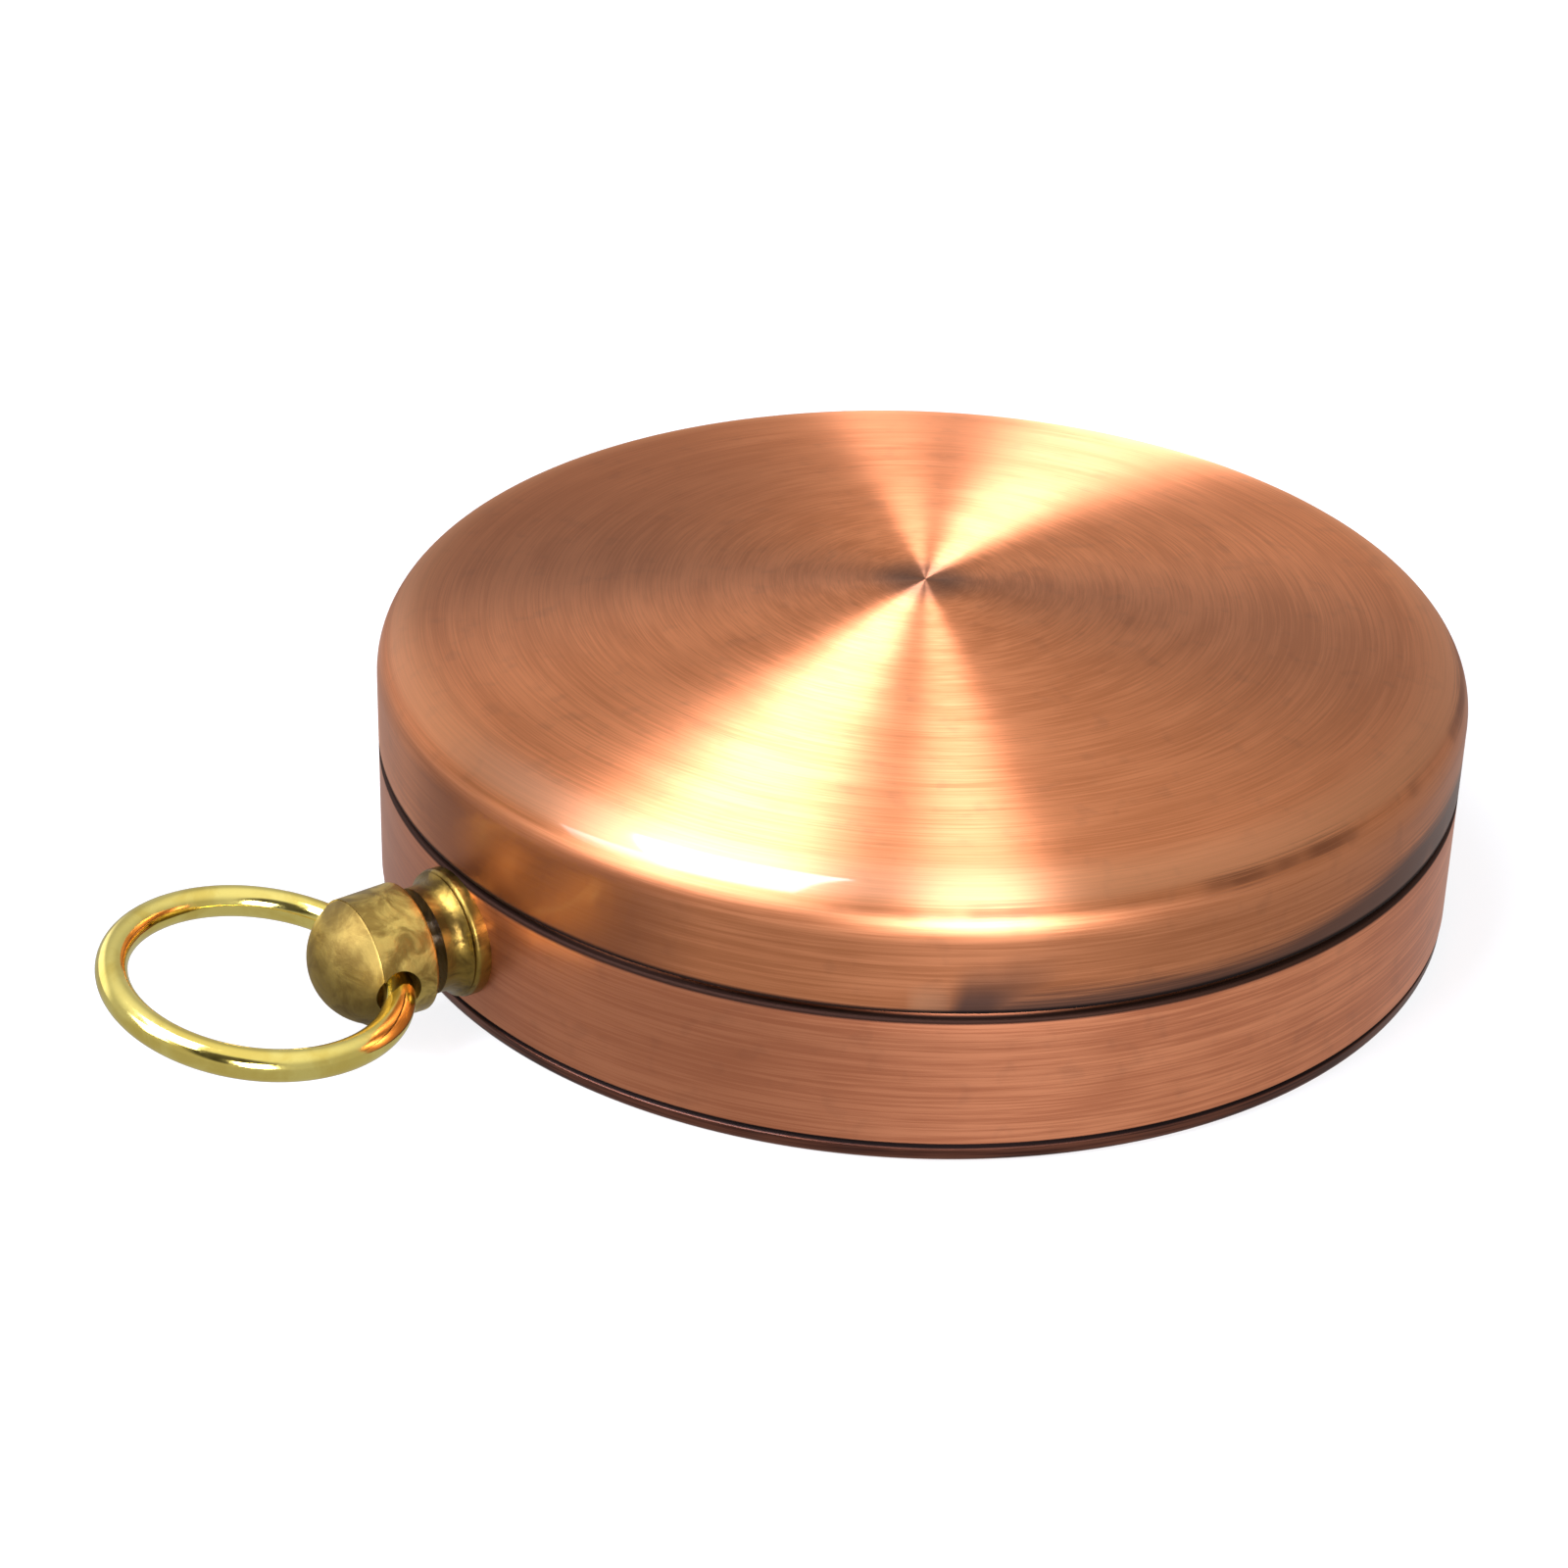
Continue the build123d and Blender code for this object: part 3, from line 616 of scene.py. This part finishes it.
pendant = Matrix.Translation((0, 0, band["pendantHeight"] * mm)) @ Matrix.Rotation(math.pi / 2, 4, "X")
collar = {"radius": 2.61, "rimStart": 22.0, "face": 23.0, "rimRound": 0.2, "coveEnd": 23.74,
          "coveDepth": 0.12, "coveCuts": 10, "neckRadius": 2.15, "neckEnd": 24.05, "bore": 0.95,
          "tubeEnd": 21.2, "steps": 96}
crown = {"start": 24.63, "radius": 2.6, "skirtRound": 0.15, "edge": 27.0, "edgeRadius": 2.55,
         "barrelCuts": 8, "domeBase": 2.5, "domeRise": 1.7, "pivot": 26.35, "mouthRadius": 0.881,
         "middleRadius": 1.298, "roll": 6.3, "tenonRadius": 0.65, "tenonDepth": 0.25, "steps": 128}
ring = {"wireRadius": 0.62, "meanRadius": 5.48, "offset": 4.902, "lift": 7.5, "steps": 180, "sides": 40}


def buildCollar():
    chord = Vector((collar["neckRadius"] - collar["radius"], collar["coveEnd"] - collar["face"]))
    inward = Vector((-chord.y, chord.x)).normalized()
    cove = []
    for i in range(1, collar["coveCuts"] + 1):
        along = i / collar["coveCuts"]
        dip = 4 * along * (1 - along) * collar["coveDepth"]
        spot = Vector((collar["radius"], collar["face"])) + chord * along + inward * dip
        cove.append((spot.x, spot.y))
    rimAt = (collar["radius"] - collar["rimRound"], collar["face"] - collar["rimRound"])
    outline = [(collar["bore"], collar["rimStart"]), (collar["radius"], collar["rimStart"])]
    outline += arc(rimAt, collar["rimRound"], 0, 75, 5) + cove
    outline += [(collar["neckRadius"], collar["neckEnd"]), (collar["bore"], collar["neckEnd"])]
    piece = place(turnPiece("pendantCollar", outline, collar["steps"]), pendant)
    case = rodPiece("caseRound", caseRadius, 4 * band["seam"], 480)
    carve(piece, case)
    tube = [(collar["bore"], collar["tubeEnd"]), (band["tubeRadius"], collar["tubeEnd"]),
            (band["tubeRadius"], collar["face"]), (collar["bore"], collar["face"])]
    carve(piece, place(turnPiece("collarTube", tube, collar["steps"]), pendant), "UNION")
    return wear(smooth(piece), "case", "brass", shadedCollarFinish, "pendant_collar")


def buildCrown():
    skirtAt = (crown["radius"] - crown["skirtRound"], crown["start"] + crown["skirtRound"])
    tenonEnd = crown["start"] + crown["tenonDepth"]
    domeRadius = (crown["domeBase"] ** 2 + crown["domeRise"] ** 2) / (2 * crown["domeRise"])
    domeAt = crown["edge"] + crown["domeRise"] - domeRadius
    lean = math.degrees(math.asin(crown["domeBase"] / domeRadius))
    outline = [(0, tenonEnd), (crown["tenonRadius"], tenonEnd), (crown["tenonRadius"], crown["start"])]
    outline += arc(skirtAt, crown["skirtRound"], -90, 0, 5)
    for i in range(1, crown["barrelCuts"] + 1):
        outline.append((crown["radius"] + (crown["edgeRadius"] - crown["radius"]) * i / crown["barrelCuts"],
                        skirtAt[1] + (crown["edge"] - skirtAt[1]) * i / crown["barrelCuts"]))
    outline += arc((0, domeAt), domeRadius, 90 - lean, 90, 24)
    piece = turnPiece("crownKnob", outline, crown["steps"])
    bulge = crown["middleRadius"] - crown["mouthRadius"]
    bulgeRadius = (crown["radius"] ** 2 + bulge ** 2) / (2 * bulge)
    swing = math.degrees(math.asin(crown["radius"] / bulgeRadius))
    past = 1.2 * crown["radius"]      # the tool reaches past both sides of the barrel
    hole = [(0, -past), (crown["mouthRadius"], -past)]
    hole += arc((crown["middleRadius"] - bulgeRadius, 0), bulgeRadius, -swing, swing, 12)
    hole += [(crown["mouthRadius"], past), (0, past)]
    carve(piece, place(turnPiece("ringHole", hole, 64), Matrix.Translation((0, 0, crown["pivot"] * mm))
                       @ Matrix.Rotation(math.pi / 2, 4, "Y")))
    place(piece, pendant @ Matrix.Rotation(math.radians(-crown["roll"]), 4, "Z"))
    return wear(smooth(piece), "crown", "brass", knobFinish, "crown_knob")


def buildRing():
    clearSelection()
    bpy.ops.mesh.primitive_circle_add(vertices=ring["sides"], radius=ring["wireRadius"] * mm,
                                      location=(ring["meanRadius"] * mm, 0, 0),
                                      rotation=(math.pi / 2, 0, 0))
    piece = bpy.context.object
    piece.name = "bowRing"
    bpy.ops.object.transform_apply(location=True, rotation=True, scale=True)
    bpy.ops.object.mode_set(mode="EDIT")
    bpy.ops.mesh.select_all(action="SELECT")
    bpy.ops.mesh.spin(steps=ring["steps"], angle=math.tau, center=(0, 0, 0), axis=(0, 0, 1))
    bpy.ops.mesh.select_all(action="SELECT")
    bpy.ops.mesh.remove_doubles(threshold=1e-6)
    bpy.ops.mesh.normals_make_consistent(inside=False)
    bpy.ops.object.mode_set(mode="OBJECT")
    place(piece, pendant @ Matrix.Rotation(math.radians(-crown["roll"]), 4, "Z")
          @ Matrix.Translation((0, 0, crown["pivot"] * mm))
          @ Matrix.Rotation(math.radians(-ring["lift"]), 4, "X")
          @ Matrix.Translation((0, 0, ring["offset"] * mm))
          @ Matrix.Rotation(math.pi / 2, 4, "X"))
    return wear(smooth(piece, 60), "bow", "brass", ringFinish, "bow_ring")


buildCollar()
buildCrown()
buildRing()
print("pendant done")


# Dial print and scale marks

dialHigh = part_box("dial_plate")[1] / mm
printing = {"thick": 0.015, "letterSize": 2.9, "letterAt": 11.3, "numberSize": 1.5, "numberAt": 14.4,
            "ringAt": (13.0, 13.12), "outerRingAt": (15.9, 16.1), "ringSteps": 180,
            "longArm": 8.6, "shortArm": 5.6, "waist": 0.24}
marks = {"footRadius": 16.65, "topRadius": 17.7, "top": 6.05, "wide": 0.16, "sink": 0.02, "lift": 0.012,
         "longCount": 12, "longShare": 0.8, "shortCount": 72, "shortShare": 0.45}


def bearing(degrees, reach):
    # north points along the pendant, east lies at -X
    turn = math.radians(degrees)
    return Vector((-math.sin(turn) * reach, -math.cos(turn) * reach, 0)) * mm


def printText(words, size, degrees, reach):
    clearSelection()
    bpy.ops.object.text_add()
    made = bpy.context.object
    made.data.body = words
    made.data.align_x = "CENTER"
    made.data.align_y = "CENTER"
    made.data.size = size * mm
    made.data.extrude = printing["thick"] * mm / 2
    bpy.ops.object.convert(target="MESH")
    made.name = "print" + words
    level = Vector((0, 0, dialHigh.z * mm))
    place(made, Matrix.Translation(level + bearing(degrees, reach))
          @ Matrix.Rotation(math.pi - math.radians(degrees), 4, "Z"))
    return wear(made, "case", "dial", inkFinish)


def printRing(name, radii):
    low = dialHigh.z - printing["thick"] / 2
    high = dialHigh.z + printing["thick"] / 2
    outline = [(radii[0], low), (radii[1], low), (radii[1], high), (radii[0], high)]
    return wear(turnPiece(name, outline, printing["ringSteps"]), "case", "dial", inkFinish)


def printStar(name, reach, degrees):
    # a ring of eight points with every second one drawn in to the waist
    clearSelection()
    bpy.ops.mesh.primitive_circle_add(vertices=8, radius=reach * mm, fill_type="NGON")
    star = bpy.context.object
    star.name = name
    bpy.ops.object.mode_set(mode="EDIT")
    bpy.ops.mesh.select_mode(type="VERT")
    bpy.ops.mesh.select_all(action="DESELECT")
    bpy.ops.object.mode_set(mode="OBJECT")
    for index in range(1, 8, 2):
        star.data.vertices[index].select = True
    bpy.ops.object.mode_set(mode="EDIT")
    bpy.ops.transform.resize(value=[printing["waist"]] * 3, center_override=(0, 0, 0))
    bpy.ops.mesh.select_all(action="SELECT")
    bpy.ops.mesh.extrude_region_move(TRANSFORM_OT_translate={"value": (0, 0, printing["thick"] * mm)})
    bpy.ops.mesh.select_all(action="SELECT")
    bpy.ops.mesh.normals_make_consistent(inside=False)
    bpy.ops.object.mode_set(mode="OBJECT")
    place(star, Matrix.Translation((0, 0, (dialHigh.z - printing["thick"] / 2) * mm))
          @ Matrix.Rotation(math.radians(degrees), 4, "Z"))
    return wear(star, "case", "dial", inkFinish)


def buildMarks(name, count, span):
    # one mark on the slope of the ring, then spun round as copies
    clearSelection()
    bpy.ops.mesh.primitive_plane_add(size=mm)
    piece = bpy.context.object
    piece.name = name
    slope = Vector((marks["topRadius"] - marks["footRadius"], 0, marks["top"] - dialHigh.z))
    middle = Vector((marks["footRadius"], 0, dialHigh.z)) + slope * (1 - span / 2)
    inward = Vector((-slope.z, 0, slope.x)).normalized()
    along = slope.normalized()
    across = inward.cross(along)
    frameOf = Matrix((across, along, inward)).transposed().to_4x4()
    place(piece, Matrix.Translation((middle - inward * marks["sink"]) * mm) @ frameOf
          @ Matrix.Diagonal((marks["wide"], slope.length * span, 1, 1)))
    bpy.ops.object.mode_set(mode="EDIT")
    bpy.ops.mesh.select_all(action="SELECT")
    raised = inward * (marks["sink"] + marks["lift"]) * mm
    bpy.ops.mesh.extrude_region_move(TRANSFORM_OT_translate={"value": raised})
    bpy.ops.mesh.select_all(action="SELECT")
    bpy.ops.mesh.spin(steps=count, dupli=True, angle=math.tau, center=(0, 0, 0), axis=(0, 0, 1))
    bpy.ops.mesh.select_all(action="SELECT")
    bpy.ops.mesh.remove_doubles(threshold=1e-6)
    bpy.ops.mesh.normals_make_consistent(inside=False)
    bpy.ops.object.mode_set(mode="OBJECT")
    return wear(piece, "case", "scale", markFinish)


for letter, degrees in (("N", 0), ("E", 90), ("S", 180), ("W", 270)):
    printText(letter, printing["letterSize"], degrees, printing["letterAt"])
for degrees in range(0, 360, 30):
    if degrees % 90:
        printText(str(degrees), printing["numberSize"], degrees, printing["numberAt"])
printRing("innerLine", printing["ringAt"])
printRing("outerLine", printing["outerRingAt"])
printStar("longArms", printing["longArm"], 0)
printStar("shortArms", printing["shortArm"], 45)
buildMarks("longMarks", marks["longCount"], marks["longShare"])
buildMarks("shortMarks", marks["shortCount"], marks["shortShare"])
print("dial done")


# Carried-over nodes take their finishes

nodeFinish = {
    "case_hinge_leaf": hingeFinish, "lid_hinge_leaf": hingeFinish, "hinge_pin": steelFinish,
    "crown_stem": steelFinish, "stem_clip": springFinish, "lock_spring": springFinish,
    "lift_spring": springFinish, "spring_screws": steelFinish, "compass_cup": ringFinish,
    "dial_plate": dialFinish, "scale_ring": scaleFinish, "pivot_post": ringFinish,
    "needle_blade": needleFinish, "needle_cap": ringFinish, "needle_jewel": jewelFinish, "crystal": glassFinish,
    "crystal_gasket": rubberFinish, "crystal_bezel": ringFinish,
}
for nodeName, finish in nodeFinish.items():
    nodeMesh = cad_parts[nodeName].data
    nodeMesh.materials.clear()
    nodeMesh.materials.append(finish)
print("node finishes done")


# Camera, lights, floor and world

camera = {"lens": 87.38, "sensor": 36.0, "place": (-5.54, -140.43, 82.44), "tilt": 29.33, "roll": 1.8,
          "clipStart": 0.005}
viewTurn = Matrix.Rotation(math.radians(54.46), 4, "Z")   # the photograph looks from this side of the part
lights = [
    # facing direction and width direction seen from the camera's side, distance, width, height, radiance
    {"name": "keySoftbox", "towards": (-0.410, -0.212, 0.886), "wide": (0.842, -0.441, 0.294), "far": 0.5,
     "width": 0.215, "height": 0.40, "radiance": 11.5, "colour": (0.95, 1.0, 1.2)},
    {"name": "keySpill", "towards": (-0.756, -0.345, 0.556), "wide": (0.842, -0.441, 0.294), "far": 0.5,
     "width": 0.17, "height": 0.225, "radiance": 8.0, "colour": (0.95, 1.0, 1.2)},
    {"name": "frontCard", "towards": (0.179, -0.919, 0.353), "wide": (1.0, 0.27, 0.0), "far": 0.5,
     "width": 0.18, "height": 0.21, "radiance": 22.0, "colour": (0.97, 1.0, 1.15)},
]
surround = {"light": 0.45, "glossy": 0.50, "overhead": 0.5, "overheadFrom": (0.4, 0.95),
            "room": 0.9, "roomSide": (0.0, -0.80, 0.60), "roomEdge": (0.82, 0.94),
            "wall": 0.85, "wallSide": (-0.748, 0.655, 0.110), "wallEdge": (0.86, 0.97)}
floor = {"size": 6.0, "drop": 0.02, "colour": (0.90, 0.90, 0.90), "glow": 0.75, "glossy": 0.45,
         "whiteFrom": (0.12, 0.45)}


def buildCamera():
    made = bpy.data.objects.new("photoCamera", bpy.data.cameras.new("photoCamera"))
    bpy.context.scene.collection.objects.link(made)
    made.data.lens = camera["lens"]
    made.data.sensor_width = camera["sensor"]
    made.data.sensor_fit = "HORIZONTAL"
    made.data.clip_start = camera["clipStart"]
    made.matrix_world = (viewTurn @ Matrix.Translation(Vector(camera["place"]) * mm)
                         @ Matrix.Rotation(math.radians(90 - camera["tilt"]), 4, "X")
                         @ Matrix.Rotation(math.radians(camera["roll"]), 4, "Z"))
    bpy.context.scene.camera = made


def buildLight(light):
    lamp = bpy.data.lights.new(light["name"], "AREA")
    lamp.shape = "RECTANGLE"
    lamp.size = light["width"]
    lamp.size_y = light["height"]
    lamp.color = light["colour"]
    lamp.energy = 4 * light["width"] * light["height"] * light["radiance"]
    made = bpy.data.objects.new(light["name"], lamp)
    bpy.context.scene.collection.objects.link(made)
    back = Vector(light["towards"]).normalized()
    across = Vector(light["wide"])
    across = (across - back * across.dot(back)).normalized()
    turn = Matrix((across, back.cross(across), back)).transposed().to_4x4()
    made.matrix_world = viewTurn @ Matrix.Translation(back * light["far"]) @ turn


def buildFloor():
    clearSelection()
    bpy.ops.mesh.primitive_plane_add(size=floor["size"])
    made = bpy.context.object
    made.name = "studioFloor"
    place(made, Matrix.Translation((0, 0, -floor["drop"] * mm)))
    material, w = newMaterial("studioFloor")
    spot, x, y, z = objectSpot(w)
    lit = w.node("BsdfDiffuse", None, {"Color": (*floor["colour"], 1)})
    path = w.node("LightPath", out="Is Camera Ray")
    seen = w.math("MAXIMUM", path, path.pick("Is Transmission Ray"))
    glossy = path.pick("Is Glossy Ray")
    away = w.math("SQRT", x * x + y * y).rise(*floor["whiteFrom"])     # plain white past the shadow
    glow = w.node("Emission", None, {"Color": (1, 1, 1, 1), "Strength": seen + glossy * floor["glossy"]})
    share = seen * (floor["glow"] + away * (1 - floor["glow"])) + glossy
    mixed = w.node("MixShader", None, {0: share, 1: lit, 2: glow})
    under = w.node("NewGeometry", out="Backfacing")         # the underside of the case shows from below
    mixed = w.node("MixShader", None, {0: under, 1: mixed, 2: w.node("BsdfTransparent")})
    w.node("OutputMaterial", None, {"Surface": mixed})
    made.data.materials.append(material)


def lookingTo(w, way, side):
    # 1 straight towards a side given as the camera sees it
    there = viewTurn.to_3x3() @ Vector(side)
    return w.node("VectorMath", {"operation": "DOT_PRODUCT"}, {0: way, 1: there}, out="Value")


def buildWorld():
    world = bpy.data.worlds.new("studioWorld")
    world.use_nodes = True
    world.node_tree.nodes.clear()
    bpy.context.scene.world = world
    w = Wire(world.node_tree)
    path = w.node("LightPath", out="Is Camera Ray")
    seen = w.math("MAXIMUM", path, path.pick("Is Transmission Ray"))
    glossy = path.pick("Is Glossy Ray")
    way = w.node("TexCoord", out="Generated")
    above = w.node("SeparateXYZ", None, {0: way}).pick("Z")
    studio = surround["glossy"] + above.rise(*surround["overheadFrom"]) * surround["overhead"]
    room = lookingTo(w, way, surround["roomSide"]).rise(*surround["roomEdge"])
    studio = studio * (1 - room * surround["room"])         # the dark room behind the camera
    wall = lookingTo(w, way, surround["wallSide"]).rise(*surround["wallEdge"])
    studio = studio + wall * surround["wall"]               # the white wall on the pendant's side
    strength = glossy * studio + (1 - glossy) * surround["light"]
    strength = strength * (1 - seen) + seen
    backdrop = w.node("Background", None, {"Color": (1, 1, 1, 1), "Strength": strength})
    w.node("OutputWorld", None, {"Surface": backdrop})


buildCamera()
for light in lights:
    buildLight(light)
buildFloor()
buildWorld()
bpy.context.scene.view_settings.view_transform = "Standard"
print("stage done")
